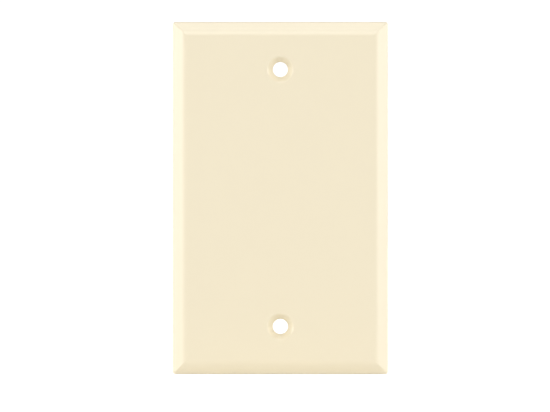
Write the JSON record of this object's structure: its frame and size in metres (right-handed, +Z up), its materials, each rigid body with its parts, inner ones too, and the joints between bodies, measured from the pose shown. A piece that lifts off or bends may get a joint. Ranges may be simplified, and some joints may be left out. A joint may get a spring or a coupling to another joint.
{
  "type": "blank wall plate",
  "caption": "Blank cover plate for a single-gang electrical box: a hollow-backed rectangle, bevelled on every side, with countersunk screw holes on its upright centre line.",
  "frame": {"origin": "on the plane of the back rim, midway between the two screw holes", "axes": "+Z up the plate's height, +X across its width, +Y through its thickness into the wall; the show face looks along -Y"},
  "size_m": [0.0698, 0.0056, 0.1142],
  "materials": {
    "ivory_plastic": "smooth, softly glossy light-ivory moulded plastic"
  },
  "bodies": {
    "root": {"wall_plate": "ivory_plastic"}
  },
  "joints": []
}
